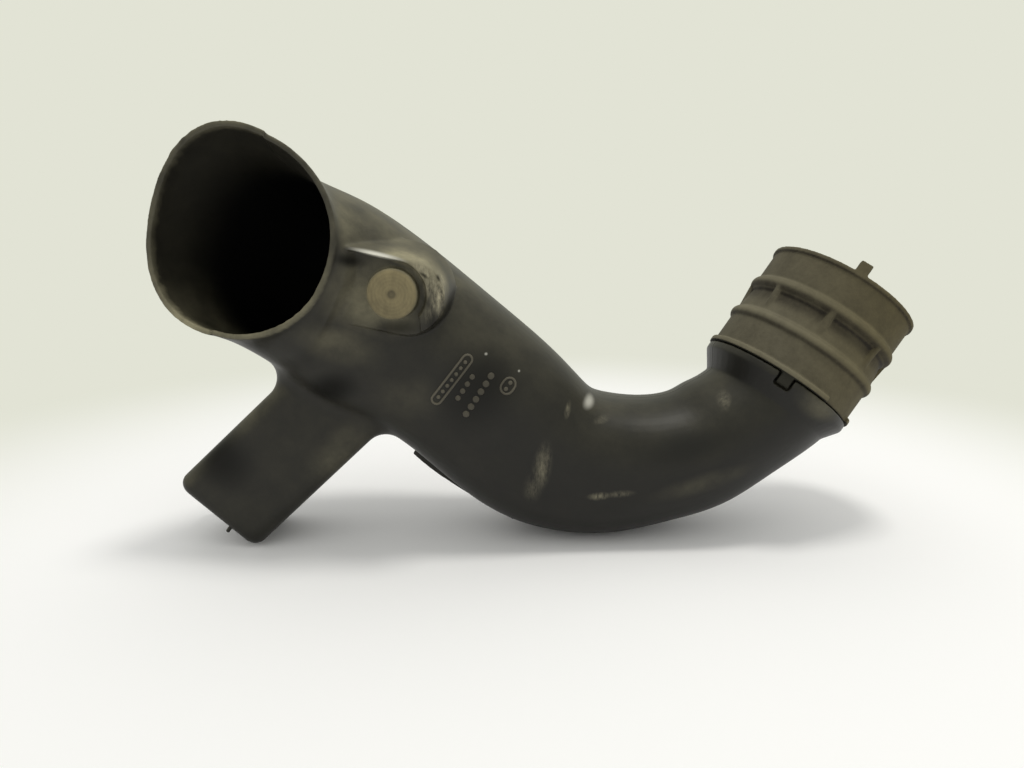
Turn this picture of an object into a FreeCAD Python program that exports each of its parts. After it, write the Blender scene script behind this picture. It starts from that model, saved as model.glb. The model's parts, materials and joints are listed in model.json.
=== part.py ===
import FreeCAD, Part
import math
import os
from collections import namedtuple

from FreeCAD import Vector

# Millimetres and degrees. X runs from the mouth to the sleeve, Y to the back, Z up.

# Duct centreline. Heading is the rise of the axis above +X, lean its turn towards the back.
# Width lies across the axis in the parting plane, depth across the two mould halves.
# Square is the exponent of the section's curve: 2 is an ellipse, more is squarer.
# Lobe is the share by which the mouth's soft corners swell the section.
Station = namedtuple("Station", "x y z heading lean width depth square lobe", defaults=[0])
# The bell is set off from the turn, and the mouth from the bell.
TURN = Station(x=-89.5, y=-8, z=126.4, heading=-31, lean=26, width=87.5, depth=80, square=2.7)
BELL_STEP = Vector(-16, -16, 11.6)
BELL = Station(x=TURN.x + BELL_STEP.x, y=TURN.y + BELL_STEP.y, z=TURN.z + BELL_STEP.z,
               heading=-26, lean=53, width=84, depth=81, square=2.3, lobe=0.015)
MOUTH_STEP = Vector(-10.8, -21, 13.4)
MOUTH = Station(x=BELL.x + MOUTH_STEP.x, y=BELL.y + MOUTH_STEP.y, z=BELL.z + MOUTH_STEP.z,
                heading=-20, lean=80, width=90, depth=83, square=2.18, lobe=0.031)
SHOULDER = Station(x=-66, y=-1, z=108.7, heading=-35, lean=5, width=88.5, depth=79, square=2.9)
RUN = Station(x=-35.7, y=0, z=87.5, heading=-38, lean=0, width=83, depth=77, square=2.4)
DESCENT = Station(x=-5.3, y=0.5, z=61.4, heading=-40, lean=1, width=82.5, depth=75, square=2.3)
BEND_IN = Station(x=20, y=2, z=41.5, heading=-27, lean=1, width=77, depth=72, square=2.4)
BEND = Station(x=46, y=3, z=35.5, heading=-2, lean=1, width=70, depth=70, square=2.5)
BEND_OUT = Station(x=72, y=3, z=37.5, heading=12, lean=3, width=64.5, depth=68, square=2.2)
RISE = Station(x=94.5, y=4, z=43.2, heading=25, lean=6, width=63, depth=67, square=2)
ELBOW_END = Station(x=109.5, y=6, z=52, heading=41, lean=8, width=63, depth=67, square=2)
LOBES = 3
LOBE_AT = 84

# Outlet end: the tube closes on a round neck, then collar and spigot share one axis.
SEAT_X = 135
SEAT_Y = 10
SEAT_Z = 74.5
OUTLET_HEADING = 54.5
OUTLET_LEAN = 9
SPIGOT_R = 34.5
SPIGOT_LENGTH = 27
SPIGOT_WALL = 3.8
NECK_STEP = 1.8
COLLAR_STEP = 4.3
COLLAR_LENGTH = 14
COLLAR_BAND = 3.5

WALL = 2.4
RIM_STEP = 1.4
LEAD = 10

# Side resonator: a closed rounded box that hangs from the run, its end face turned by the skew.
BRANCH_HEADING = 223
BRANCH_LEAN = -2.5
BRANCH_SHIFT = -21.5
BRANCH_REACH = 128.2
BRANCH_SKEW = 4
BRANCH_WIDTH = 49
BRANCH_DEPTH = 44
BRANCH_Y = -1
BRANCH_CORNER = 7
BRANCH_END_ROUND = 5
BRANCH_BLEND = 11

# Land with the locating boss, both drawn along Y.
BOSS_X = -51
BOSS_Z = 126.5
BOSS_R = 11
BOSS_HEIGHT = 5
BOSS_ROUND = 1
LAND_PROUD = 2.5
LAND_R = 14.5
LAND_TILT = -12
LAND_LENGTH = 34
BROW_HEIGHT = 4
BROW_ROUND = 1.2
BROW_TOP = 1.3
BROW_END = 7.9
PAD_DRAFT = 7
PAD_ROOT = 24

# Pinch-off fin under the elbow. It starts at a share of the way from the run to the descent.
FIN_HEIGHT = 4
FIN_THICK = 3
FIN_ROOT = 4
FIN_START = 0.45

# Rubber sleeve: walls over its bore, heights along its axis from its lower end.
SLEEVE_FIT = 0.1
SLEEVE_GAP = 0.5
SLEEVE_LENGTH = 57.5
BEAD_WALL = 5
BEAD_HEIGHT = 2.6
LOWER_BAND_WALL = 3.2
LOWER_RIDGE_WALL = 4.9
LOWER_RIDGE_AT = 19.5
GROOVE_WALL = 1.7
GROOVE_SLOPE = 2.2
UPPER_RIDGE_WALL = 4.7
UPPER_RIDGE_AT = 37.5
RIDGE_HALF = 2.8
UPPER_BAND_WALL = 2.8
LIP_WALL = 3.9
LIP_HEIGHT = 2.2
STOP_DEPTH = 2.6
STOP_HEIGHT = 3
GUSSETS = 8
GUSSET_FOOT = 9
GUSSET_TIP = 2.4
GUSSET_SINK = 0.4
TAB_ANGLE = 19
TAB_WIDTH = 6
TAB_LENGTH = 5.5
TAB_THICK = 3.9
NOTCH_CLEAR = 1
BEAD_BREAK_FROM = -50
BEAD_BREAK_TO = -14

SECTION_POINTS = 24
NEAR = 0.01
MESH = 0.1


def axes(heading, lean):
    """Axis direction, direction across it in the parting plane, direction to the front."""
    h = math.radians(heading)
    a = math.radians(lean)
    along = Vector(math.cos(h) * math.cos(a), math.sin(a), math.sin(h) * math.cos(a))
    across = Vector(-math.sin(h), 0, math.cos(h))
    return along, across, along.cross(across)


def bent(value, power):
    return math.copysign(abs(value) ** power, value)


def section(station, inset):
    """Closed section wire of one station, shrunk by inset."""
    along, across, front = axes(station.heading, station.lean)
    centre = Vector(station.x, station.y, station.z)
    power = 2.0 / station.square
    points = []
    for i in range(SECTION_POINTS):
        turn = 2 * math.pi * i / SECTION_POINTS
        swell = 1 + station.lobe * math.cos(LOBES * (turn - math.radians(LOBE_AT)))
        u = (station.width / 2 * swell - inset) * bent(math.cos(turn), power)
        v = (station.depth / 2 * swell - inset) * bent(math.sin(turn), power)
        points.append(centre + across * u + front * v)
    curve = Part.BSplineCurve()
    curve.interpolate(points, PeriodicFlag=True)
    return Part.Wire([curve.toShape()])


def moved(station, ahead):
    along = axes(station.heading, station.lean)[0] * ahead
    return station._replace(x=station.x + along.x, y=station.y + along.y, z=station.z + along.z)


def mix(a, b, share):
    return Station(*[p + (q - p) * share for p, q in zip(a, b)])


def block(corner, i, j, k):
    """Box from a corner and three edge vectors."""
    ring = [corner, corner + i, corner + i + j, corner + j]
    return Part.Face(Part.makePolygon(ring + ring[:1])).extrude(k)


OUT_ALONG, OUT_ACROSS, OUT_FRONT = axes(OUTLET_HEADING, OUTLET_LEAN)
SEAT = Vector(SEAT_X, SEAT_Y, SEAT_Z)
NECK_AT = SEAT - OUT_ALONG * COLLAR_LENGTH
NECK_R = SPIGOT_R - NECK_STEP
COLLAR_R = SPIGOT_R + COLLAR_STEP
SLEEVE_BORE = SPIGOT_R + SLEEVE_FIT
NECK = Station(x=NECK_AT.x, y=NECK_AT.y, z=NECK_AT.z, heading=OUTLET_HEADING, lean=OUTLET_LEAN,
               width=2 * NECK_R, depth=2 * NECK_R, square=2)
TUBE = [moved(MOUTH, -LEAD), MOUTH, BELL, TURN, SHOULDER, RUN, DESCENT, BEND_IN, BEND, BEND_OUT,
        RISE, ELBOW_END, NECK, moved(NECK, LEAD)]


def radial(angle):
    a = math.radians(angle)
    return OUT_FRONT * math.cos(a) + OUT_ACROSS * math.sin(a)


def outlet_point(r, s):
    return SEAT + OUT_ALONG * s + OUT_FRONT * r


def outlet_turned(profile, start=0, sweep=360):
    """Solid of a closed (radius, height) profile turned about the outlet axis."""
    corners = [SEAT + OUT_ALONG * s + radial(start) * r for r, s in profile]
    face = Part.Face(Part.makePolygon(corners + corners[:1]))
    return face.revolve(SEAT, OUT_FRONT.cross(OUT_ACROSS), sweep)


def outlet_block(width, r_from, r_to, s_from, s_to, angle):
    """Block on the outlet axis, centred on an angle."""
    out = radial(angle)
    side = OUT_ALONG.cross(out)
    corner = SEAT + OUT_ALONG * s_from + out * r_from - side * (width / 2)
    return block(corner, side * width, out * (r_to - r_from), OUT_ALONG * (s_to - s_from))


def tube(inset):
    return Part.makeLoft([section(s, inset) for s in TUBE], True, False)


def branch(inset):
    """Resonator box from inside the tube to its closed end."""
    along, across, front = axes(BRANCH_HEADING, BRANCH_LEAN)
    half = BRANCH_WIDTH / 2 - inset
    depth = BRANCH_DEPTH - 2 * inset
    reach = BRANCH_REACH - inset
    slope = math.tan(math.radians(BRANCH_SKEW))
    root = Vector(RUN.x, BRANCH_Y, RUN.z) + across * BRANCH_SHIFT - front * (depth / 2)
    ring = [root - across * half, root + across * half,
            root + across * half + along * (reach - half * slope),
            root - across * half + along * (reach + half * slope)]
    box = Part.Face(Part.makePolygon(ring + ring[:1])).extrude(front * depth)
    sides = [e for e in box.Edges if abs(e.tangentAt(e.FirstParameter).dot(along)) > 1 - NEAR]
    box = box.makeFillet(BRANCH_CORNER - inset, sides)
    end = root + along * reach
    square = (along + across * slope).normalize()
    rim = [e for e in box.Edges if abs((e.CenterOfMass - end).dot(square)) < NEAR]
    return box.makeFillet(BRANCH_END_ROUND - inset, rim)


def stadium(r, y, ahead=0.0, lift=0.0, length=LAND_LENGTH):
    """Wire at depth y: round end about the boss, moved ahead and up, sides back to the mouth."""
    end = Vector(math.cos(math.radians(LAND_TILT)), 0, math.sin(math.radians(LAND_TILT)))
    up = Vector(-end.z, 0, end.x)
    tip = Vector(BOSS_X, y, BOSS_Z) + end * ahead + up * lift
    far = end * -length
    arc = Part.Arc(tip + up * r, tip + end * r, tip - up * r).toShape()
    ring = Part.makePolygon([tip - up * r, tip - up * r + far, tip + up * r + far, tip + up * r])
    return Part.Wire([arc] + ring.Edges)


LAND_Y = SHOULDER.y - SHOULDER.depth / 2 - LAND_PROUD
BROW_Y = LAND_Y - BROW_HEIGHT
BOSS_Y = LAND_Y - BOSS_HEIGHT


def pad():
    """Drafted block with the land cut into it: a brow stays above the boss and round its end."""
    front_r = LAND_R + BROW_TOP
    ahead = BROW_END - BROW_TOP
    solid = Part.makeLoft([stadium(front_r + PAD_DRAFT, BROW_Y + PAD_ROOT, ahead - PAD_DRAFT / 2),
                           stadium(front_r, BROW_Y, ahead)], True, True)
    brow = [e for e in solid.Edges if abs(e.BoundBox.YMax - BROW_Y) < NEAR]
    solid = solid.makeFillet(BROW_ROUND, brow)
    clear = Vector(0, -2 * BROW_HEIGHT, 0)
    land = Part.Face(stadium(LAND_R, LAND_Y, length=2 * LAND_LENGTH)).extrude(clear)
    below = Part.Face(stadium(LAND_R, LAND_Y, lift=-LAND_R, length=2 * LAND_LENGTH)).extrude(clear)
    return solid.cut(land).cut(below)


def boss():
    pin = Part.makeCylinder(BOSS_R, PAD_ROOT / 2 + BOSS_HEIGHT,
                            Vector(BOSS_X, LAND_Y + PAD_ROOT / 2, BOSS_Z), Vector(0, -1, 0))
    top = [e for e in pin.Edges if abs(e.CenterOfMass.y - BOSS_Y) < NEAR and len(e.Vertexes) == 1]
    return pin.makeFillet(BOSS_ROUND, top)


def boss_core():
    return Part.makeCylinder(BOSS_R - WALL, PAD_ROOT / 2 + BOSS_HEIGHT - WALL,
                             Vector(BOSS_X, LAND_Y + PAD_ROOT / 2, BOSS_Z), Vector(0, -1, 0))


def fin_section(station):
    along, across, front = axes(station.heading, station.lean)
    skin = Vector(station.x, station.y, station.z) - across * (station.width / 2)
    half = front * (FIN_THICK / 2)
    ring = [skin + across * FIN_ROOT - half, skin + across * FIN_ROOT + half,
            skin - across * FIN_HEIGHT + half, skin - across * FIN_HEIGHT - half]
    return Part.makePolygon(ring + ring[:1])


def fin():
    line = [mix(RUN, DESCENT, FIN_START), DESCENT, mix(DESCENT, BEND_IN, 0.5), BEND_IN]
    return Part.makeLoft([fin_section(s) for s in line], True, False)


def collar():
    """Collar, shoulder and spigot as one turned solid, not yet bored."""
    solid = outlet_turned([(0, -COLLAR_LENGTH), (NECK_R - WALL / 2, -COLLAR_LENGTH),
                           (COLLAR_R, -COLLAR_BAND), (COLLAR_R, 0), (SPIGOT_R, 0),
                           (SPIGOT_R, SPIGOT_LENGTH), (0, SPIGOT_LENGTH)])
    width = TAB_WIDTH + 2 * NOTCH_CLEAR
    floor = SLEEVE_GAP - TAB_LENGTH - NOTCH_CLEAR
    return solid.cut(outlet_block(width, SPIGOT_R, 2 * COLLAR_R, floor, SPIGOT_LENGTH, TAB_ANGLE))


def spigot_bore():
    r = SPIGOT_R - SPIGOT_WALL
    return Part.makeCylinder(r, COLLAR_LENGTH + 2 * SPIGOT_LENGTH, NECK_AT, OUT_ALONG)


def mouth_trim():
    """Blocks that trim the mouth: the front mould half a little shorter than the back one."""
    along, across, front = axes(MOUTH.heading, MOUTH.lean)
    wide = 2 * MOUTH.width
    corner = Vector(MOUTH.x, MOUTH.y, MOUTH.z) - across * (wide / 2)
    back = block(corner - front * wide, across * wide, front * wide, along * (-2 * LEAD))
    ahead = block(corner + along * RIM_STEP, across * wide, front * wide, along * (-2 * LEAD))
    return back.fuse(ahead)


def duct_body():
    shell = tube(0)
    solid = shell.fuse(branch(0))
    skin = max(solid.Faces, key=lambda f: f.Area)
    own = [e.CenterOfMass for e in shell.Edges]
    root = [e for e in skin.Edges if min((e.CenterOfMass - c).Length for c in own) > NEAR]
    solid = solid.makeFillet(BRANCH_BLEND, root)
    solid = solid.fuse(pad()).fuse(boss()).fuse(fin()).fuse(collar())
    solid = solid.cut(tube(WALL)).cut(branch(WALL)).cut(boss_core()).cut(spigot_bore())
    return solid.cut(mouth_trim())


def sleeve_profile():
    """Closed section wire of the sleeve, drawn in the plane of the outlet axis."""
    def at(wall, s):
        return outlet_point(SLEEVE_BORE + wall, s + SLEEVE_GAP)

    def ridge(band, crest, s):
        return Part.Arc(at(band, s - RIDGE_HALF), at(crest, s), at(band, s + RIDGE_HALF)).toShape()

    low = [at(0, 0), at(BEAD_WALL, 0), at(BEAD_WALL, BEAD_HEIGHT), at(LOWER_BAND_WALL, BEAD_HEIGHT),
           at(LOWER_BAND_WALL, LOWER_RIDGE_AT - RIDGE_HALF)]
    upper_flank = UPPER_RIDGE_AT - RIDGE_HALF
    mid = [at(LOWER_BAND_WALL, LOWER_RIDGE_AT + RIDGE_HALF), at(GROOVE_WALL, upper_flank - GROOVE_SLOPE),
           at(UPPER_BAND_WALL, upper_flank)]
    brim = SLEEVE_LENGTH - LIP_HEIGHT
    high = [at(UPPER_BAND_WALL, UPPER_RIDGE_AT + RIDGE_HALF), at(UPPER_BAND_WALL, brim), at(LIP_WALL, brim),
            at(LIP_WALL, SLEEVE_LENGTH), at(0, SLEEVE_LENGTH)]
    stop = SPIGOT_LENGTH
    inside = [at(0, SLEEVE_LENGTH), at(0, stop + STOP_HEIGHT), at(-STOP_DEPTH, stop + STOP_HEIGHT),
              at(-STOP_DEPTH, stop), at(0, stop), at(0, 0)]
    edges = [ridge(LOWER_BAND_WALL, LOWER_RIDGE_WALL, LOWER_RIDGE_AT),
             ridge(UPPER_BAND_WALL, UPPER_RIDGE_WALL, UPPER_RIDGE_AT)]
    for corners in (low, mid, high, inside):
        edges += Part.makePolygon(corners).Edges
    return Part.Wire(Part.__sortEdges__(edges))


def gusset(angle):
    """Web in the groove: wide and low on the lower ridge's flank, narrow and tall at the upper one."""
    out = radial(angle)
    side = OUT_ALONG.cross(out)
    inner = SLEEVE_BORE + GROOVE_WALL / 2

    def level(width, r, s):
        base = SEAT + OUT_ALONG * (SLEEVE_GAP + s)
        ring = [base + out * inner - side * (width / 2), base + out * inner + side * (width / 2),
                base + out * r + side * (GUSSET_TIP / 2), base + out * r - side * (GUSSET_TIP / 2)]
        return Part.makePolygon(ring + ring[:1])

    foot = level(GUSSET_FOOT, SLEEVE_BORE + LOWER_BAND_WALL - GUSSET_SINK,
                 LOWER_RIDGE_AT + RIDGE_HALF - GUSSET_SINK)
    tip = level(GUSSET_TIP + GUSSET_SINK, SLEEVE_BORE + UPPER_RIDGE_WALL - GUSSET_SINK,
                UPPER_RIDGE_AT - GUSSET_SINK)
    return Part.makeLoft([foot, tip], True, True)


def rubber_sleeve():
    solid = Part.Face(sleeve_profile()).revolve(SEAT, OUT_ALONG, 360)
    for i in range(GUSSETS):
        solid = solid.fuse(gusset(TAB_ANGLE + 360.0 * i / GUSSETS))
    brim = SLEEVE_GAP + SLEEVE_LENGTH - LIP_HEIGHT
    bead = SLEEVE_GAP + BEAD_HEIGHT
    tab_r = SLEEVE_BORE + TAB_THICK
    upper_tab = outlet_block(TAB_WIDTH, SLEEVE_BORE, tab_r, brim, brim + LIP_HEIGHT + TAB_LENGTH, TAB_ANGLE)
    lower_tab = outlet_block(TAB_WIDTH, SLEEVE_BORE, tab_r, SLEEVE_GAP - TAB_LENGTH, bead, TAB_ANGLE)
    band_r = SLEEVE_BORE + LOWER_BAND_WALL
    clear_r = band_r + 2 * BEAD_WALL
    gap = outlet_turned([(band_r, 0), (clear_r, 0), (clear_r, bead), (band_r, bead)],
                        BEAD_BREAK_FROM, BEAD_BREAK_TO - BEAD_BREAK_FROM)
    return solid.fuse(upper_tab).cut(gap).fuse(lower_tab)


pieces = {"duct_body": duct_body(), "rubber_sleeve": rubber_sleeve()}

# The origin is the middle of the bottom of the whole part's box.
points = [p for shape in pieces.values() for p in shape.tessellate(MESH)[0]]
low = Vector(*[min(p[k] for p in points) for k in range(3)])
high = Vector(*[max(p[k] for p in points) for k in range(3)])
home = Vector(-(low.x + high.x) / 2, -(low.y + high.y) / 2, -low.z)

os.makedirs("parts", exist_ok=True)
for name, shape in pieces.items():
    shape.translate(home)
    shape.exportStep("parts/" + name + ".step")
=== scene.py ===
import json
import math

import bmesh
import bpy
import numpy as np
from mathutils import Matrix, Vector


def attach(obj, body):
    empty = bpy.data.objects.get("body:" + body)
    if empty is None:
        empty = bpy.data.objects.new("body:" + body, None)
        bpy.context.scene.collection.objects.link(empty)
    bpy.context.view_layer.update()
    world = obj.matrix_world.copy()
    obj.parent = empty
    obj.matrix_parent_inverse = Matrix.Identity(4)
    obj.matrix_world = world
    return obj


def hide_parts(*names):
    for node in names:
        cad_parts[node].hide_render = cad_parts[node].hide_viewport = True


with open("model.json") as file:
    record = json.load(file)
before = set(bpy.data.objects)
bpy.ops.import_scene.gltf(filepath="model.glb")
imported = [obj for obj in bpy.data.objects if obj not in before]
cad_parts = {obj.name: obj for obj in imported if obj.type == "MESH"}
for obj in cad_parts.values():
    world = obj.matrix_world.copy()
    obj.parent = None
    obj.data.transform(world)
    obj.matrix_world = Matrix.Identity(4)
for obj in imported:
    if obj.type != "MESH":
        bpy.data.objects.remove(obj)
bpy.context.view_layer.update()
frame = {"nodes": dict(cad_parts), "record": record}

MM = 0.001
SCENE = bpy.context.scene
MOUNTS = {mount["name"]: mount for mount in frame["record"]["mounts"]}

# Boss, mouth and outlet, from the record. Other places are given in mm from the middle of the boss.
BOSS_AT = Vector(MOUNTS["locating_boss"]["pos_m"])
BOSS_R = MOUNTS["locating_boss"]["dims"]["r_mm"]
MOUTH_AT = Vector(MOUNTS["mouth"]["pos_m"])
MOUTH_AXIS = Vector(MOUNTS["mouth"]["axis"]).normalized()
OUTLET_AT = Vector(MOUNTS["outlet_sleeve"]["pos_m"])
OUTLET_AXIS = Vector(MOUNTS["outlet_sleeve"]["axis"]).normalized()
BORE_R = MOUNTS["outlet_sleeve"]["dims"]["r_mm"]

# Camera, as the photograph was taken. Pixels are of an image 1024 wide.
PHOTO_WIDTH = 1024
FOCAL_PIXELS = 760
CAMERA_FROM_BOSS = (51, -325, 35.5)
CAMERA_PITCH = 13
NEAREST_SEEN = 10

# Studio, in metres and watts. The floor fades into the backdrop between two distances from its middle.
FLOOR_R = 4.0
FADE_FROM = 0.22
FADE_TO = 0.5
FILL_STRENGTH = 0.78
LAMP_AT = Vector((0.22, -0.07, 1.5))
LAMP_SIZE = 0.32
LAMP_POWER = 6.2

# Softening of the solids' edges: voxels in mm, smoothing passes, and the most triangles in a piece.
MERGE_GAP = 0.001
BODY_VOXEL = 0.5
BODY_PASSES = 16
SLEEVE_VOXEL = 0.45
SLEEVE_PASSES = 8
PASS_SHARE = 0.5
MOST_TRIANGLES = 185000

# Duct's centreline: place, heading above +X, lean to the back. The two mould halves part along it.
PATH = [(-65.3, 0, 24.9, -20, 80), (-54.5, 21, 11.5, -26, 53), (-38.5, 37, -0.1, -31, 26),
        (-15, 44, -17.8, -35, 5), (15.3, 45, -39, -38, 0), (45.7, 45.5, -65.1, -40, 1),
        (71, 47, -85, -27, 1), (97, 48, -91, -2, 1), (123, 48, -89, 12, 3),
        (145.5, 49, -83.3, 25, 6), (160.5, 51, -74.5, 41, 8), (186, 55, -52, 54.5, 9)]

# Inner walls face the centreline and lie near it. They are painted black as shade between two depths from the
# mouth.
INNER_FACING = -0.4
INNER_REACH = 44
BORE_SHADE_FROM = 11
BORE_SHADE_TO = 42

# Rim of the mouth: the step between the mould halves, its depth, where it rises across the parting line and
# how far round it fades, the rim's evening out, and the depth of its pale band, which is dust and a painted
# highlight.
RIM_STEP = 0.6
RIM_DEPTH = 7
RIM_RISE_FROM = -0.3
RIM_RISE_TO = 0.5
RIM_SPAN = 14
RIM_PASSES = 80
RIM_PASS_SHARES = (0.5, -0.52)
RIM_FILM = 3

# Dust on the duct thickens from one X to another, and the rim's pale band, dust and a painted highlight, from
# the mouth's middle down. The dust's film lies on what faces up, and its haze all over.
DUST_THIN_X = 80
DUST_THICK_X = -25
RIM_PALE_DROP = 40
DUST_FILM = 0.42
DUST_HAZE = 0.035

# Patches on the front: middle, half length, half width, angle above +X, and strength unless wiped clean.
PATCH_DEPTH = 14
PATCH_CORE = 0.1
# Dust patches. Those on the elbow's top and lower right are painted highlights and reflections as well as
# dust.
DUST_AND_SHEEN = [((-8, 1, -2), 30, 23, -12, 0.48), ((8, 2, 15), 18, 7, -25, 0.85), ((13, 3, 12), 26, 11, -38, 0.48),
         ((-25, 4, -22), 24, 12, -15, 0.20), ((-24, 6, 26), 25, 18, 60, 0.32),
         ((-30, 19, -78), 26, 14, 43, 0.14), ((5, 7, -48), 22, 14, 0, 0.07),
         ((196, 17, -54), 18, 10, -32, 0.28), ((140, 20, -92), 32, 7, 16, 0.16),
         ((112, 28, -54), 34, 9, 4, 0.12), ((27, 20, 7), 15, 8, -42, 0.20)]
# Patches wiped clean of dust. The two under the mouth and on the branch also clear the dust where shade is
# painted.
WIPED = [((163, 28, -40), 17, 10, 55), ((135, 16, -74), 34, 12, 18), ((36, 8, -44), 30, 22, 50),
         ((-31, 10, -44), 20, 12, 20), ((-84, 18, -80), 18, 24, 43)]
SCUFFS = [((65, 10.3, -81.5), 15, 5.5, 82, 0.34), ((61, 11, -92), 10, 6, 80, 0.18),
          ((92, 13, -97), 7, 2.6, 4, 0.50), ((102, 13, -96), 9, 2.4, 4, 0.26),
          ((77, 18, -56), 5, 2, 75, 0.34), ((94, 22, -62), 6, 2.2, 10, 0.20),
          ((152.5, 28, -54), 6, 4, 80, 0.26), ((20, 0, 1), 14, 5, 84, 1.0), ((16, -2, 4), 8, 4, 75, 0.9),
          ((16, 3, -8), 7, 4, 60, 0.40), ((14, -1, 9), 10, 4.5, -40, 0.9)]
# Painted shade: in the slot under the ledge, by the brow's right end, under the boss, under the mouth's
# overhang and on the branch. The last patch darkens the run about the marks.
DARK = [((-17.5, -1, 14), 9, 3.8, -12, 0.9), ((13.8, -2, 8), 3.5, 1.2, -35, 0.8),
        ((19.7, -1.7, 6.9), 2.2, 1, -65, 0.8), ((0, 2, -15), 14, 4.5, 4, 0.6),
        ((17, 2, -12), 7, 3.5, 70, 0.5), ((-31, 10, -44), 18, 11, 20, 0.9),
        ((-88, 18, -80), 18, 22, 43, 0.6), ((36, 8, -44), 30, 22, 50, 0.4)]
# Painted highlights: a line along the ledge's edge, which is also worn pale, a soft spot on the elbow's top,
# and two small pale spots.
BRIGHT = [((-5.5, -2, 16.5), 15, 1.7, -12.6, 1.0), ((88, 28.5, -54.6), 5, 3.6, 30, 0.5),
          ((39.3, 11.6, -28.3), 1.0, 0.9, 0, 0.4), ((54.2, 14.3, -36.7), 0.8, 0.8, 0, 0.4)]

# Boss: how far outside and inside its edge the tan fades, the height from which it is tan, the step between
# its turned rings, and the radii between which its middle darkens.
BOSS_EDGE_OUT = 0.3
BOSS_EDGE_IN = 0.9
BOSS_TAN_FROM = 0.3
BOSS_RING_STEP = 1.5
BOSS_MIDDLE_FROM = 2.6
BOSS_MIDDLE_TO = 1.4

# Parting line's bead: half its width at the foot and at the top.
SEAM_FOOT = 0.7
SEAM_TOP = 0.15

# Plain raised marks on the run, all turned to one angle: middle, half length, half width, wall if hollow.
# A row of dots has a place, the step to the next dot, their radius and the steps that have a dot.
MARK_ANGLE = 52
MARK_LIFT = 0.45
MARK_SHOULDER = 0.18
MARK_SINK = 0.7
MARK_BEVEL = 0.3
MARK_SIDE_STEPS = 12
MARK_END_STEPS = 10
MARK_RAY_FROM = -25
MARK_RAY_LENGTH = 200
LONG_RING = (24.0, -39.3)
SHORT_RING = (49.2, -42.8)
DOT_ROWS = [(LONG_RING, (2.03, 2.6), 0.9, range(-3, 4)), ((26.7, -47.6), (2.13, 3.17), 1.25, range(4)),
            ((30.2, -55.1), (2.26, 3.42), 1.55, range(6)), (SHORT_RING, (1.0, 1.3), 1.0, (-1, 1))]
MARKS = [(LONG_RING, 14.0, 2.7, 1.0), (SHORT_RING, 4.2, 3.4, 1.0)]
MARKS += [((x + dx * i, z + dz * i), r, r, 0) for (x, z), (dx, dz), r, steps in DOT_ROWS for i in steps]

# Stub left where the mould pinched the resonator's end shut: its root, direction, sizes and sides.
NUB_AT = (-86, 20, -115.7)
NUB_AXIS = (-0.62, 0, -0.785)
NUB_R = 1.1
NUB_TIP_R = 0.88
NUB_LENGTH = 2.7
NUB_SINK = 1.2
NUB_SIDES = 24

# Sleeve: heights over its bore where crests turn pale, where pits turn dark with painted shade and where the
# bore's
# # wall ends, half the width across which its dust turns warmer and darker, and the lower end of its band
# along the
# # axis, below which only its tab is left.
CREST_FROM = 4.2
CREST_TO = 4.9
PIT_FROM = 2.7
PIT_TO = 1.9
BORE_WALL = 0.7
WARM_HALF = 35
TAB_FROM = -43.5


def srgb(code):
    """Linear colour of an sRGB hex value."""
    parts = [int(code[i:i + 2], 16) / 255 for i in (1, 3, 5)]
    return tuple(p / 12.92 if p <= 0.04045 else ((p + 0.055) / 1.055) ** 2.4 for p in parts) + (1.0,)


def per(size_mm):
    """Texture scale at which a pattern repeats about every size_mm."""
    return 1.0 / (size_mm * MM)


def from_boss(offset):
    """Place in metres of an offset in mm from the middle of the boss."""
    return BOSS_AT + Vector(offset) * MM


def add(tree, kind, inputs=(), **settings):
    """Adds a node, sets its properties, and sets or links its inputs, given by name or in order."""
    node = tree.nodes.new(kind)
    for key, value in settings.items():
        setattr(node, key, value)
    for key, value in inputs.items() if isinstance(inputs, dict) else enumerate(inputs):
        if isinstance(value, bpy.types.NodeSocket):
            tree.links.new(value, node.inputs[key])
        else:
            node.inputs[key].default_value = value
    return node


def new_material(name):
    """Material with an empty node tree."""
    material = bpy.data.materials.new(name)
    material.use_nodes = True
    material.node_tree.nodes.clear()
    return material, material.node_tree


def linked(name, data):
    """Object in the scene for a mesh, a lamp or a camera."""
    thing = bpy.data.objects.new(name, data)
    SCENE.collection.objects.link(thing)
    return thing


def mesh_of(work, name):
    """Mesh of a finished bmesh."""
    mesh = bpy.data.meshes.new(name)
    work.to_mesh(mesh)
    work.free()
    return mesh


def settle(piece):
    """Turns an object into a plain mesh with its modifiers applied."""
    depsgraph = bpy.context.evaluated_depsgraph_get()
    mesh = bpy.data.meshes.new_from_object(piece.evaluated_get(depsgraph))
    piece.modifiers.clear()
    piece.data = mesh


def merged_copy(node, name):
    """Copy of a solid's mesh with its triangles joined."""
    work = bmesh.new()
    work.from_mesh(frame["nodes"][node].data)
    bmesh.ops.remove_doubles(work, verts=work.verts, dist=MERGE_GAP * MM)
    return mesh_of(work, name)


def softened(node, name, voxel, passes):
    """Copy of a solid with its edges rounded as a mould leaves them."""
    piece = linked(name, merged_copy(node, name))
    grid = piece.modifiers.new("grid", "REMESH")
    grid.mode = "VOXEL"
    grid.voxel_size = voxel * MM
    rounding = piece.modifiers.new("rounding", "SMOOTH")
    rounding.factor = PASS_SHARE
    rounding.iterations = passes
    settle(piece)
    triangles = sum(len(face.vertices) - 2 for face in piece.data.polygons)
    if triangles > MOST_TRIANGLES:
        thinning = piece.modifiers.new("thinning", "DECIMATE")
        thinning.ratio = MOST_TRIANGLES / triangles
        settle(piece)
    piece.data.shade_smooth()
    return piece


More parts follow.
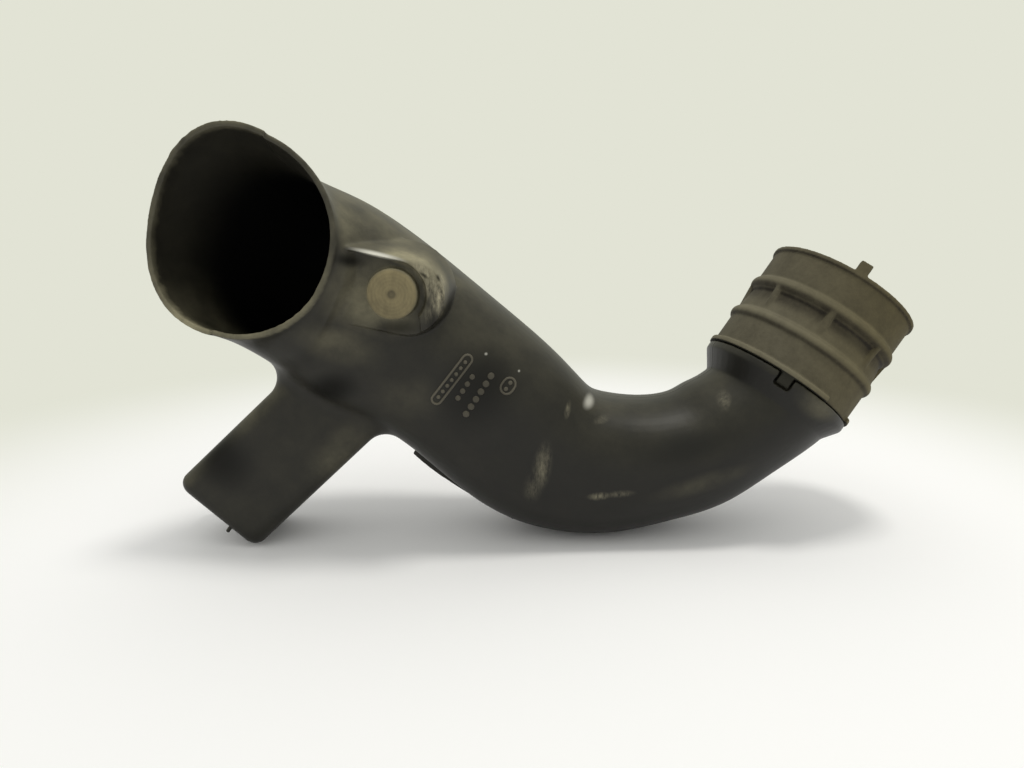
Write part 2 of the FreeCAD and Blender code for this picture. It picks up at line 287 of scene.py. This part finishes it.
def along_path(points):
    """Nearest point on the duct's centreline for each point, and the way across the mould halves there."""
    stops = np.array([from_boss(stop[:3]) for stop in PATH])
    turns = np.radians([stop[3:] for stop in PATH])
    best = np.full(len(points), np.inf)
    near = np.zeros_like(points)
    across = np.zeros_like(points)
    for i in range(len(PATH) - 1):
        run = stops[i + 1] - stops[i]
        share = np.clip((points - stops[i]) @ run / (run @ run), 0, 1)
        foot = stops[i] + share[:, None] * run
        far = np.linalg.norm(points - foot, axis=1)
        heading, lean = (turns[i] + share[:, None] * (turns[i + 1] - turns[i])).T
        level = np.cos(lean)
        forward = np.stack([level * np.cos(heading), np.sin(lean), level * np.sin(heading)], axis=1)
        up = np.stack([-np.sin(heading), np.zeros_like(heading), np.cos(heading)], axis=1)
        nearer = far < best
        best[nearer] = far[nearer]
        near[nearer] = foot[nearer]
        across[nearer] = np.cross(forward, up)[nearer]
    return near, across


def smooth_step(value, low, high):
    """Soft ramp from 0 at low to 1 at high."""
    share = np.clip((value - low) / (high - low), 0, 1)
    return share * share * (3 - 2 * share)


def evened(points, edges, share):
    """Evens points out against their neighbours, by each point's share, without shrinking the shape."""
    count = len(points)
    edges = edges[share[edges].max(axis=1) > 0]
    ends = np.concatenate([edges, edges[:, ::-1]])
    meeting = np.maximum(np.bincount(ends[:, 0], minlength=count), 1)[:, None]
    for factor in RIM_PASS_SHARES * RIM_PASSES:
        total = np.stack([np.bincount(ends[:, 0], points[ends[:, 1], k], count) for k in range(3)], axis=1)
        points = points + factor * share[:, None] * (total / meeting - points)
    return points


def mark_halves(mesh):
    """Evens the rim and steps it where the mould halves met. Stores the distance to the parting line, the
    painted shade that blackens the inner walls and the rim's pale band of dust and painted highlight."""
    count = len(mesh.vertices)
    points = np.empty(3 * count)
    normals = np.empty(3 * count)
    edges = np.empty(2 * len(mesh.edges), dtype=int)
    mesh.vertices.foreach_get("co", points)
    mesh.vertices.foreach_get("normal", normals)
    mesh.edges.foreach_get("vertices", edges)
    points = points.reshape(-1, 3)
    normals = normals.reshape(-1, 3)
    depth = (points - np.array(MOUTH_AT)) @ -np.array(MOUTH_AXIS) / MM
    points = evened(points, edges.reshape(-1, 2), 1 - smooth_step(depth, RIM_DEPTH / 2, RIM_DEPTH))
    near, across = along_path(points)
    out = points - near
    reach = np.linalg.norm(out, axis=1)
    side = np.sum(out * across, axis=1) / MM
    facing = np.sum(out * normals, axis=1) / np.maximum(reach, MM)
    inner = (facing < INNER_FACING) & (reach < INNER_REACH * MM)
    bore_shade = np.where(inner, smooth_step(depth, BORE_SHADE_FROM, BORE_SHADE_TO), 0)
    film = 1 - smooth_step(depth, 0, RIM_FILM)

    step = smooth_step(side, RIM_RISE_FROM, RIM_RISE_TO) * np.exp(-np.maximum(side, 0) / RIM_SPAN)
    step *= 1 - smooth_step(depth, 0, RIM_DEPTH)
    points -= out / np.maximum(reach, MM)[:, None] * (RIM_STEP * MM * step)[:, None]
    mesh.vertices.foreach_set("co", points.ravel())
    for name, values in (("parting", side), ("inner", bore_shade), ("rim", film)):
        stored = mesh.attributes.new(name, "FLOAT", "POINT")
        stored.data.foreach_set("value", values)
    mesh.update()


def patch(tree, place, middle, half_length, half_width, angle):
    """Soft mask, 1 in the middle of a turned ellipse on the front and 0 outside it."""
    local = add(tree, "ShaderNodeMapping", {
        "Vector": place, "Location": from_boss(middle), "Rotation": (0, -math.radians(angle), 0),
        "Scale": (half_length * MM, PATCH_DEPTH * MM, half_width * MM)}, vector_type="TEXTURE").outputs[0]
    reach = add(tree, "ShaderNodeVectorMath", (local,), operation="LENGTH").outputs["Value"]
    return add(tree, "ShaderNodeMapRange", {
        "Value": reach, "From Min": 1.0, "From Max": PATCH_CORE}, interpolation_type="SMOOTHSTEP").outputs[0]


def patches(tree, place, rows):
    """Strongest of several patches."""
    most = 0.0
    for *ellipse, strength in rows:
        mask = patch(tree, place, *ellipse)
        mask = add(tree, "ShaderNodeMath", (mask, strength), operation="MULTIPLY").outputs[0]
        most = add(tree, "ShaderNodeMath", (mask, most), operation="MAXIMUM").outputs[0]
    return most


def duct_dust_and_sheen(tree, place, blotch):
    """Pale dust on what faces up, thicker towards the mouth, on the lower rim and in patches. The band on the
    lower rim and some patches are partly painted highlights and reflections.
    """
    x, _, z = add(tree, "ShaderNodeSeparateXYZ", (place,)).outputs
    facing = add(tree, "ShaderNodeNewGeometry").outputs["Normal"]
    up = add(tree, "ShaderNodeSeparateXYZ", (facing,)).outputs["Z"]
    rim = add(tree, "ShaderNodeAttribute", attribute_name="rim").outputs["Fac"]
    broad = add(tree, "ShaderNodeTexNoise", {
        "Vector": place, "Scale": per(45), "Detail": 3.0}).outputs["Fac"]
    shelf = add(tree, "ShaderNodeMapRange", {"Value": up, "From Min": 0.0, "From Max": 0.9}).outputs[0]
    mouth = add(tree, "ShaderNodeMapRange", {
        "Value": x, "From Min": BOSS_AT.x + DUST_THIN_X * MM, "From Max": BOSS_AT.x + DUST_THICK_X * MM,
        "To Min": 0.3, "To Max": 1.0}, interpolation_type="SMOOTHSTEP").outputs[0]
    low = add(tree, "ShaderNodeMapRange", {
        "Value": z, "From Min": MOUTH_AT.z, "From Max": MOUTH_AT.z - RIM_PALE_DROP * MM,
        "To Min": 0.2, "To Max": 0.9}).outputs[0]
    clouds = add(tree, "ShaderNodeMapRange", {
        "Value": broad, "From Min": 0.3, "From Max": 0.7, "To Min": 0.4}).outputs[0]
    mottle = add(tree, "ShaderNodeMapRange", {
        "Value": blotch, "From Min": 0.3, "From Max": 0.72, "To Min": 0.35, "To Max": 1.15}).outputs[0]
    film = add(tree, "ShaderNodeMath", (shelf, mouth), operation="MULTIPLY").outputs[0]
    film = add(tree, "ShaderNodeMath", (film, clouds), operation="MULTIPLY").outputs[0]
    haze = add(tree, "ShaderNodeMath", (mouth, DUST_HAZE), operation="MULTIPLY").outputs[0]
    dust_and_painted_light = add(tree, "ShaderNodeMath", (film, DUST_FILM, haze), operation="MULTIPLY_ADD").outputs[0]
    dust_and_painted_light = add(tree, "ShaderNodeMath", (rim, low, dust_and_painted_light), operation="MULTIPLY_ADD").outputs[0]
    dust_and_painted_light = add(tree, "ShaderNodeMath", (dust_and_painted_light, patches(tree, place, DUST_AND_SHEEN)), operation="ADD").outputs[0]
    dust_and_painted_light = add(tree, "ShaderNodeMath", (dust_and_painted_light, mottle), operation="MULTIPLY").outputs[0]
    for ellipse in WIPED:
        wiped = patch(tree, place, *ellipse)
        dust_and_painted_light = add(tree, "ShaderNodeMix", {0: wiped, 2: dust_and_painted_light, 3: 0.0}).outputs[0]
    return dust_and_painted_light


def boss_face(tree, place, blotch, broken):
    """Mask of the boss's face, its turned rings, and its tan dust, which is thin in the middle."""
    _, y, z = add(tree, "ShaderNodeSeparateXYZ", (place,)).outputs
    on_boss = add(tree, "ShaderNodeVectorMath", (place, BOSS_AT), operation="SUBTRACT").outputs[0]
    flat = add(tree, "ShaderNodeVectorMath", (on_boss, (1, 0, 1)), operation="MULTIPLY").outputs[0]
    radius = add(tree, "ShaderNodeVectorMath", (flat,), operation="LENGTH").outputs["Value"]
    disc = add(tree, "ShaderNodeMapRange", {
        "Value": radius, "From Min": (BOSS_R + BOSS_EDGE_OUT) * MM,
        "From Max": (BOSS_R - BOSS_EDGE_IN) * MM}).outputs[0]
    front = add(tree, "ShaderNodeMath", (y, BOSS_AT.y - BOSS_TAN_FROM * MM), operation="LESS_THAN").outputs[0]
    boss = add(tree, "ShaderNodeMath", (disc, front), operation="MULTIPLY").outputs[0]
    around = 2 * math.pi * per(BOSS_RING_STEP)
    turns = add(tree, "ShaderNodeMath", (radius, around), operation="MULTIPLY").outputs[0]
    rings = add(tree, "ShaderNodeMath", (turns,), operation="SINE").outputs[0]
    middle = add(tree, "ShaderNodeMapRange", {
        "Value": radius, "From Min": BOSS_MIDDLE_FROM * MM, "From Max": BOSS_MIDDLE_TO * MM},
        interpolation_type="SMOOTHSTEP").outputs[0]
    tan = add(tree, "ShaderNodeMapRange", {
        "Value": z, "From Min": BOSS_AT.z - BOSS_R * MM, "From Max": BOSS_AT.z + BOSS_R * MM,
        "To Min": 0.08, "To Max": 0.32}).outputs[0]
    for part, weight in ((rings, 0.025), (middle, -0.3), (blotch, 0.55), (broken, 0.16)):
        tan = add(tree, "ShaderNodeMath", (part, weight, tan), operation="MULTIPLY_ADD").outputs[0]
    return boss, rings, tan


def duct_relief(tree, place, out_of_bore, turned):
    """Grain, a slow waviness of the blown wall, the parting line and the boss's rings. The grain is drawn
    coarser than the real one, so that it shows."""
    grain = add(tree, "ShaderNodeTexNoise", {
        "Vector": place, "Scale": per(0.9), "Detail": 2.0}).outputs["Fac"]
    wave = add(tree, "ShaderNodeTexNoise", {
        "Vector": place, "Scale": per(28), "Detail": 1.0}).outputs["Fac"]
    parting = add(tree, "ShaderNodeAttribute", attribute_name="parting").outputs["Fac"]
    off_seam = add(tree, "ShaderNodeMath", (parting,), operation="ABSOLUTE").outputs[0]
    seam = add(tree, "ShaderNodeMapRange", {
        "Value": off_seam, "From Min": SEAM_FOOT, "From Max": SEAM_TOP},
        interpolation_type="SMOOTHSTEP").outputs[0]
    seam = add(tree, "ShaderNodeMath", (seam, out_of_bore), operation="MULTIPLY").outputs[0]
    below = {}
    layers = ((grain, 0.12, 0.25), (wave, 0.4, 1.2), (seam, 0.7, 0.35), (turned, 0.3, 0.04))
    for height, strength, depth in layers:
        bump = add(tree, "ShaderNodeBump", {
            "Height": height, "Strength": strength, "Distance": depth * MM, **below}).outputs[0]
        below = {"Normal": bump}
    return bump


def polypropylene(name, bare):
    """Blow-moulded black polypropylene: satin and finely grained, with pale dust on what faces up, tan dust
    on the boss, chalky scuffs, painted highlights and painted shade, and a bore painted black as shade. Bare
    is the colour under the dust."""
    material, tree = new_material(name)
    place = add(tree, "ShaderNodeTexCoord").outputs["Object"]
    inner = add(tree, "ShaderNodeAttribute", attribute_name="inner").outputs["Fac"]
    out_of_bore = add(tree, "ShaderNodeMath", (1.0, inner), operation="SUBTRACT").outputs[0]
    blotch = add(tree, "ShaderNodeTexNoise", {
        "Vector": place, "Scale": per(14), "Detail": 7.0, "Roughness": 0.62}).outputs["Fac"]

    # Streaks run down the wall and break up the scuffs.
    drawn = add(tree, "ShaderNodeMapping", {"Vector": place, "Scale": (1.5, 1.5, 0.5)}).outputs[0]
    streaks = add(tree, "ShaderNodeTexNoise", {
        "Vector": drawn, "Scale": per(2.6), "Detail": 5.0, "Roughness": 0.7}).outputs["Fac"]
    broken = add(tree, "ShaderNodeMapRange", {
        "Value": streaks, "From Min": 0.34, "From Max": 0.70}).outputs[0]
    scuff = patches(tree, place, SCUFFS)
    scuff = add(tree, "ShaderNodeMath", (scuff, broken), operation="MULTIPLY").outputs[0]

    # Dust is tan on the boss and pale elsewhere. None lies deep in the bore, which is painted black as shade.
    dust_and_painted_light = duct_dust_and_sheen(tree, place, blotch)
    boss, rings, tan = boss_face(tree, place, blotch, broken)
    dust_and_painted_light = add(tree, "ShaderNodeMix", {0: boss, 2: dust_and_painted_light, 3: tan}).outputs[0]
    dust_and_painted_light = add(tree, "ShaderNodeMath", (dust_and_painted_light, out_of_bore), operation="MULTIPLY", use_clamp=True).outputs[0]
    tint = add(tree, "ShaderNodeMix", {
        0: boss, 6: srgb("#999377"), 7: srgb("#968a66")}, data_type="RGBA").outputs[2]

    # Painted shade that blackens the inner walls, dust with some painted highlights, scuffs, painted shade
    #     and painted highlights lie over the bare colour in turn.
    off_boss = add(tree, "ShaderNodeMath", (1.0, boss), operation="SUBTRACT").outputs[0]
    shade_and_dark = patches(tree, place, DARK)
    shade_and_dark = add(tree, "ShaderNodeMath", (shade_and_dark, off_boss), operation="MULTIPLY").outputs[0]
    painted_highlight = patches(tree, place, BRIGHT)
    colour = bare
    for share, layer in ((inner, srgb("#060606")), (dust_and_painted_light, tint), (scuff, srgb("#aaa389")),
                         (shade_and_dark, srgb("#0d0c08")), (painted_highlight, srgb("#e6e4d6"))):
        colour = add(tree, "ShaderNodeMix", {0: share, 6: colour, 7: layer}, data_type="RGBA").outputs[2]

    # Dust and scuffs are rough. The bore and the patches of painted shade shine less.
    pale = add(tree, "ShaderNodeMath", (dust_and_painted_light, scuff), operation="MAXIMUM").outputs[0]
    rough = add(tree, "ShaderNodeMapRange", {"Value": pale, "To Min": 0.42, "To Max": 0.85}).outputs[0]
    shaded = add(tree, "ShaderNodeMath", (inner, shade_and_dark), operation="MAXIMUM").outputs[0]
    shine = add(tree, "ShaderNodeMapRange", {"Value": shaded, "To Min": 0.28, "To Max": 0.1}).outputs[0]
    turned = add(tree, "ShaderNodeMath", (rings, boss), operation="MULTIPLY").outputs[0]
    relief = duct_relief(tree, place, out_of_bore, turned)
    shader = add(tree, "ShaderNodeBsdfPrincipled", {
        "Base Color": colour, "Roughness": rough, "Normal": relief, "IOR": 1.49, "Specular IOR Level": shine})
    add(tree, "ShaderNodeOutputMaterial", {"Surface": shader.outputs[0]})
    return material


def rubber():
    """Moulded rubber gone olive brown with dust: no gloss, pale on its crests and upper slopes, dark in its
    groove and on its lower slopes; the slopes and the groove carry painted light and shade. The grain is
    drawn coarser than the real one, so that it shows."""
    material, tree = new_material("dusty_moulded_rubber")
    place = add(tree, "ShaderNodeTexCoord").outputs["Object"]
    x = add(tree, "ShaderNodeSeparateXYZ", (place,)).outputs["X"]
    facing = add(tree, "ShaderNodeNewGeometry").outputs["Normal"]
    tilt = add(tree, "ShaderNodeVectorMath", (facing, OUTLET_AXIS), operation="DOT_PRODUCT").outputs["Value"]
    local = add(tree, "ShaderNodeVectorMath", (place, OUTLET_AT), operation="SUBTRACT").outputs[0]
    along = add(tree, "ShaderNodeVectorMath", (local, OUTLET_AXIS), operation="DOT_PRODUCT").outputs["Value"]
    off_axis = add(tree, "ShaderNodeVectorMath", (local, OUTLET_AXIS), operation="CROSS_PRODUCT").outputs[0]
    radius = add(tree, "ShaderNodeVectorMath", (off_axis,), operation="LENGTH").outputs["Value"]
    crest = add(tree, "ShaderNodeMapRange", {
        "Value": radius, "From Min": (BORE_R + CREST_FROM) * MM, "From Max": (BORE_R + CREST_TO) * MM},
        interpolation_type="SMOOTHSTEP").outputs[0]
    pit = add(tree, "ShaderNodeMapRange", {
        "Value": radius, "From Min": (BORE_R + PIT_FROM) * MM, "From Max": (BORE_R + PIT_TO) * MM},
        interpolation_type="SMOOTHSTEP").outputs[0]
    bore = add(tree, "ShaderNodeMath", (radius, (BORE_R + BORE_WALL) * MM), operation="LESS_THAN").outputs[0]
    tab = add(tree, "ShaderNodeMath", (along, TAB_FROM * MM), operation="LESS_THAN").outputs[0]

    # Dust and painted light lie on the upper slopes; the lower slopes and the groove are darker with painted
    # shade. Dust
    # # also lies on the crests, in blotches and specks.
    blotch = add(tree, "ShaderNodeTexNoise", {
        "Vector": place, "Scale": per(9), "Detail": 6.0, "Roughness": 0.6}).outputs["Fac"]
    specks = add(tree, "ShaderNodeTexNoise", {
        "Vector": place, "Scale": per(1.6), "Detail": 3.0}).outputs["Fac"]
    dust_and_painted_light = add(tree, "ShaderNodeMapRange", {
        "Value": tilt, "From Min": -0.7, "From Max": 0.6, "To Min": -0.2, "To Max": 0.45}).outputs[0]
    for part, weight in ((blotch, 0.55), (crest, 0.3), (specks, 0.2), (pit, -0.35)):
        dust_and_painted_light = add(tree, "ShaderNodeMath", (part, weight, dust_and_painted_light), operation="MULTIPLY_ADD").outputs[0]
    warm = add(tree, "ShaderNodeMapRange", {
        "Value": x, "From Min": OUTLET_AT.x - WARM_HALF * MM,
        "From Max": OUTLET_AT.x + WARM_HALF * MM}).outputs[0]
    pale_tone = add(tree, "ShaderNodeMix", {
        0: warm, 6: srgb("#6e6956"), 7: srgb("#645b3a")}, data_type="RGBA").outputs[2]
    colour = srgb("#25211a")
    for share, layer in ((dust_and_painted_light, pale_tone), (tab, srgb("#27261f")), (bore, srgb("#1b1914"))):
        colour = add(tree, "ShaderNodeMix", {0: share, 6: colour, 7: layer}, data_type="RGBA").outputs[2]
    grain = add(tree, "ShaderNodeTexNoise", {
        "Vector": place, "Scale": per(0.8), "Detail": 2.0}).outputs["Fac"]
    relief = add(tree, "ShaderNodeBump", {
        "Height": grain, "Strength": 0.2, "Distance": 0.25 * MM}).outputs[0]
    shader = add(tree, "ShaderNodeBsdfPrincipled", {
        "Base Color": colour, "Roughness": 0.8, "Normal": relief, "IOR": 1.5, "Specular IOR Level": 0.2})
    add(tree, "ShaderNodeOutputMaterial", {"Surface": shader.outputs[0]})
    return material


def mark_outline(straight, reach):
    """Closed outline of a pill or, with no straight sides, of a disc."""
    outline = []
    for end in (1, -1):
        if straight:
            for k in range(1 - MARK_SIDE_STEPS, MARK_SIDE_STEPS):
                outline.append((end * straight * k / MARK_SIDE_STEPS, -end * reach))
        for k in range(MARK_END_STEPS + 1 if straight else MARK_END_STEPS):
            turn = math.pi * k / MARK_END_STEPS
            outline.append((end * (straight + reach * math.sin(turn)), -end * reach * math.cos(turn)))
    return outline


def mark_blanks():
    """Flat closed pills and discs in front of the run, each vertex with its lift off the surface."""
    work = bmesh.new()
    lift = work.verts.layers.float.new("lift")
    turn = math.radians(MARK_ANGLE)
    along = Vector((math.cos(turn), 0, math.sin(turn)))
    aside = Vector((-math.sin(turn), 0, math.cos(turn)))
    for (x, z), half_length, half_width, wall in MARKS:
        middle = from_boss((x, MARK_RAY_FROM, z))
        steps = [(0, -MARK_SINK), (0, MARK_SHOULDER), (MARK_BEVEL, MARK_LIFT)]
        if wall:
            steps += [(wall - MARK_BEVEL, MARK_LIFT), (wall, MARK_SHOULDER), (wall, -MARK_SINK)]
        rings = []
        for inset, height in steps:
            ring = []
            for s, c in mark_outline(half_length - half_width, half_width - inset):
                corner = work.verts.new(middle + (along * s + aside * c) * MM)
                corner[lift] = height * MM
                ring.append(corner)
            rings.append(ring)
        for low, high in zip(rings, rings[1:] + (rings[:1] if wall else [])):
            for i in range(len(low)):
                j = (i + 1) % len(low)
                work.faces.new((low[i], low[j], high[j], high[i]))
        if not wall:
            work.faces.new(rings[0])
            work.faces.new(rings[-1])
    bmesh.ops.recalc_face_normals(work, faces=work.faces)
    return mesh_of(work, "run_marks")


def laid_on(material):
    """Geometry nodes that drop a mesh along +Y onto a surface and raise each vertex by its lift."""
    tree = bpy.data.node_groups.new("laid_on_surface", "GeometryNodeTree")
    tree.interface.new_socket("Geometry", in_out="INPUT", socket_type="NodeSocketGeometry")
    surface = tree.interface.new_socket("Surface", in_out="INPUT", socket_type="NodeSocketObject")
    length = tree.interface.new_socket("Ray Length", in_out="INPUT", socket_type="NodeSocketFloat")
    tree.interface.new_socket("Geometry", in_out="OUTPUT", socket_type="NodeSocketGeometry")
    given = add(tree, "NodeGroupInput").outputs
    shape = add(tree, "GeometryNodeObjectInfo", {"Object": given["Surface"]}).outputs["Geometry"]
    hit = add(tree, "GeometryNodeRaycast", {
        "Target Geometry": shape, "Ray Direction": (0, 1, 0), "Ray Length": given["Ray Length"]}).outputs
    lift = add(tree, "GeometryNodeInputNamedAttribute", {
        "Name": "lift"}, data_type="FLOAT").outputs["Attribute"]
    raised = add(tree, "ShaderNodeVectorMath", {
        0: hit["Hit Normal"], "Scale": lift}, operation="SCALE").outputs[0]
    goal = add(tree, "ShaderNodeVectorMath", (hit["Hit Position"], raised), operation="ADD").outputs[0]
    moved = add(tree, "GeometryNodeSetPosition", {
        "Geometry": given["Geometry"], "Position": goal}).outputs[0]
    whole = add(tree, "GeometryNodeRealizeInstances", {"Geometry": moved}).outputs[0]
    coated = add(tree, "GeometryNodeSetMaterial", {"Geometry": whole, "Material": material}).outputs[0]
    add(tree, "NodeGroupOutput", {"Geometry": coated})
    return tree, surface.identifier, length.identifier


def run_marks(target, material):
    """Plain raised marks moulded on the run."""
    piece = linked("moulded_marks", mark_blanks())
    tree, surface, length = laid_on(material)
    drop = piece.modifiers.new("laid_on", "NODES")
    drop.node_group = tree
    drop[surface] = target
    drop[length] = MARK_RAY_LENGTH * MM
    settle(piece)
    piece.data.shade_smooth()
    return piece


def pinch_nub(material):
    """Short stub on the resonator's end."""
    axis = Vector(NUB_AXIS).normalized()
    middle = from_boss(NUB_AT) + axis * (NUB_LENGTH - NUB_SINK) / 2 * MM
    work = bmesh.new()
    bmesh.ops.create_cone(
        work, cap_ends=True, segments=NUB_SIDES, radius1=NUB_R * MM, radius2=NUB_TIP_R * MM,
        depth=(NUB_LENGTH + NUB_SINK) * MM,
        matrix=Matrix.Translation(middle) @ axis.to_track_quat("Z", "Y").to_matrix().to_4x4())
    piece = linked("pinch_nub", mesh_of(work, "pinch_nub"))
    piece.data.materials.append(material)
    return piece


def light(wall):
    """Even light all round, a backdrop that eye and reflections see, and one soft lamp overhead."""
    world = bpy.data.worlds.new("studio")
    SCENE.world = world
    world.use_nodes = True
    tree = world.node_tree
    tree.nodes.clear()
    path = add(tree, "ShaderNodeLightPath").outputs
    seen = path["Is Camera Ray"]
    for ray in ("Is Glossy Ray", "Is Transmission Ray"):
        seen = add(tree, "ShaderNodeMath", (seen, path[ray]), operation="MAXIMUM").outputs[0]
    fill = add(tree, "ShaderNodeBackground", {"Color": srgb("#fefefb"), "Strength": FILL_STRENGTH})
    backdrop = add(tree, "ShaderNodeBackground", {"Color": wall, "Strength": 1.0})
    mixed = add(tree, "ShaderNodeMixShader", (seen, fill.outputs[0], backdrop.outputs[0]))
    add(tree, "ShaderNodeOutputWorld", {"Surface": mixed.outputs[0]})

    lamp = bpy.data.lights.new("overhead", "AREA")
    lamp.shape = "DISK"
    lamp.size = LAMP_SIZE
    lamp.energy = LAMP_POWER
    lamp.color = srgb("#fffdf8")[:3]
    carrier = linked("overhead", lamp)
    carrier.location = LAMP_AT
    carrier.rotation_euler = (-LAMP_AT).to_track_quat("-Z", "Y").to_euler()


def pale_floor(wall):
    """Matt pale floor that keeps the object's shadow and fades into the backdrop."""
    material, tree = new_material("pale_floor")
    place = add(tree, "ShaderNodeTexCoord").outputs["Object"]
    reach = add(tree, "ShaderNodeVectorMath", (place,), operation="LENGTH").outputs["Value"]
    far = add(tree, "ShaderNodeMapRange", {
        "Value": reach, "From Min": FADE_FROM, "From Max": FADE_TO},
        interpolation_type="SMOOTHSTEP").outputs[0]
    camera_ray = add(tree, "ShaderNodeLightPath").outputs["Is Camera Ray"]
    fade = add(tree, "ShaderNodeMath", (far, camera_ray), operation="MULTIPLY").outputs[0]
    paint = add(tree, "ShaderNodeBsdfDiffuse", {"Color": srgb("#fdfdfc")})
    glow = add(tree, "ShaderNodeEmission", {"Color": wall, "Strength": 1.0})
    mixed = add(tree, "ShaderNodeMixShader", (fade, paint.outputs[0], glow.outputs[0]))
    add(tree, "ShaderNodeOutputMaterial", {"Surface": mixed.outputs[0]})
    disc = bmesh.new()
    bmesh.ops.create_circle(disc, cap_ends=True, segments=96, radius=FLOOR_R)
    floor = linked("floor", mesh_of(disc, "floor"))
    floor.data.materials.append(material)


def camera():
    """Camera where the photograph was taken from."""
    data = bpy.data.cameras.new("camera")
    data.sensor_fit = "HORIZONTAL"
    data.lens = data.sensor_width * FOCAL_PIXELS / PHOTO_WIDTH
    data.clip_start = NEAREST_SEEN * MM
    carrier = linked("camera", data)
    carrier.location = from_boss(CAMERA_FROM_BOSS)
    carrier.rotation_euler = (math.radians(90 - CAMERA_PITCH), 0, 0)
    SCENE.camera = carrier


plastic = polypropylene("blow_moulded_polypropylene", srgb("#171613"))
worn_plastic = polypropylene("polypropylene_with_dusty_relief", srgb("#565247"))

body = softened("duct_body", "moulded_duct", BODY_VOXEL, BODY_PASSES)
mark_halves(body.data)
body.data.materials.append(plastic)
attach(body, "root")
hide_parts("duct_body")

for extra in (run_marks(body, worn_plastic), pinch_nub(plastic)):
    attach(extra, "root")

sleeve = softened("rubber_sleeve", "coupling_sleeve", SLEEVE_VOXEL, SLEEVE_PASSES)
sleeve.data.materials.append(rubber())
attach(sleeve, "root")
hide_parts("rubber_sleeve")

backdrop_colour = srgb("#e2e3d5")
light(backdrop_colour)
pale_floor(backdrop_colour)
camera()
SCENE.view_settings.view_transform = "Standard"
